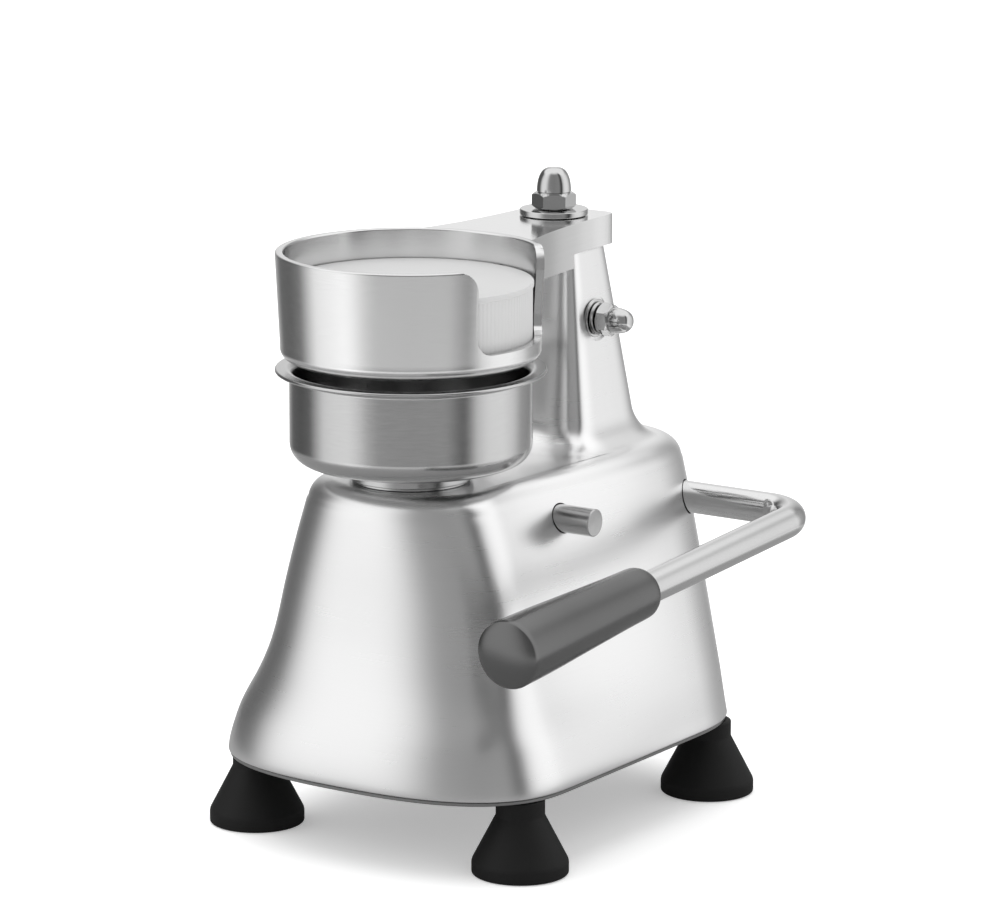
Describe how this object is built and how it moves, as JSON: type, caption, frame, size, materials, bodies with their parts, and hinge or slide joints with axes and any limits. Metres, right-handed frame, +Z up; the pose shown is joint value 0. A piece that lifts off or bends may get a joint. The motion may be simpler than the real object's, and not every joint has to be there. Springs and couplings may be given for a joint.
{
  "type": "patty press",
  "caption": "Manual patty press: bell-shaped cast body on rubber feet, bowl with rising ejector plate, side lever handle and swinging upper cup with paper discs.",
  "frame": {"origin": "middle of the bounding box's bottom, on the table under the machine; the bowl's axis is at x -20.5 mm, y -30.6 mm", "axes": "+Z up; -Y towards the operator, where the bowl is; +X the side of the handle"},
  "size_m": [0.2206, 0.2706, 0.2788],
  "materials": {
    "cast_aluminium": "fine satin brushed casting",
    "brushed_stainless": "brushed round the axis",
    "bright_steel": "bright turned steel",
    "polished_rod": "polished bar",
    "bronze": "machined",
    "black_rubber": "matt",
    "black_plastic": "gloss moulding",
    "paper": "stack of cut discs"
  },
  "bodies": {
    "frame": {"body_casting": "cast_aluminium", "base_plate": "brushed_stainless", "foot_front_left": "black_rubber", "foot_front_right": "black_rubber", "foot_rear_left": "black_rubber", "foot_rear_right": "black_rubber", "foot_screw_front_left": "bright_steel", "foot_screw_front_right": "bright_steel", "foot_screw_rear_left": "bright_steel", "foot_screw_rear_right": "bright_steel", "bowl": "brushed_stainless", "guide_bush": "brushed_stainless", "bush_nut": "bright_steel", "bowl_screw_1": "bright_steel", "bowl_screw_2": "bright_steel", "bowl_screw_3": "bright_steel", "shaft_bush_left": "bronze", "shaft_bush_right": "bronze", "stop_pin": "bright_steel", "pivot_spindle": "bright_steel", "cross_bolt": "bright_steel", "side_washer": "bright_steel", "side_spring_washer": "bright_steel", "side_acorn_nut": "bright_steel", "top_washer": "bright_steel", "top_acorn_nut": "bright_steel"},
    "handle": {"handle_rod": "polished_rod", "handle_grip": "black_plastic", "lift_lever": "cast_aluminium", "lever_set_screw": "bright_steel"},
    "ram": {"ejector_plate": "brushed_stainless", "ejector_screw": "bright_steel", "ram_rod": "bright_steel", "lift_pin": "bright_steel", "lift_pin_clip_left": "bright_steel", "lift_pin_clip_right": "bright_steel"},
    "arm": {"swing_arm": "cast_aluminium", "arm_bush": "bronze", "upper_cup": "brushed_stainless", "cup_screw_left": "bright_steel", "cup_screw_right": "bright_steel", "paper_stack": "paper"}
  },
  "joints": [
    {"name": "handle_lift", "type": "hinge", "parent": "frame", "child": "handle", "pos_m": [-0.02045, 0.10331, 0.133], "axis": [-1, 0, 0], "range_deg": [0, 14]},
    {"name": "ram_rise", "type": "slide", "parent": "frame", "child": "ram", "axis": [0, 0, 1], "range_m": [0, 0.0345]},
    {"name": "arm_swing", "type": "hinge", "parent": "frame", "child": "arm", "pos_m": [-0.02045, 0.08031, 0.244], "axis": [0, 0, -1], "range_deg": [0, 120]}
  ],
  "couplings": [
    {"joint": "ram_rise", "follows": "handle_lift", "m_per_rad": 0.13935}
  ]
}
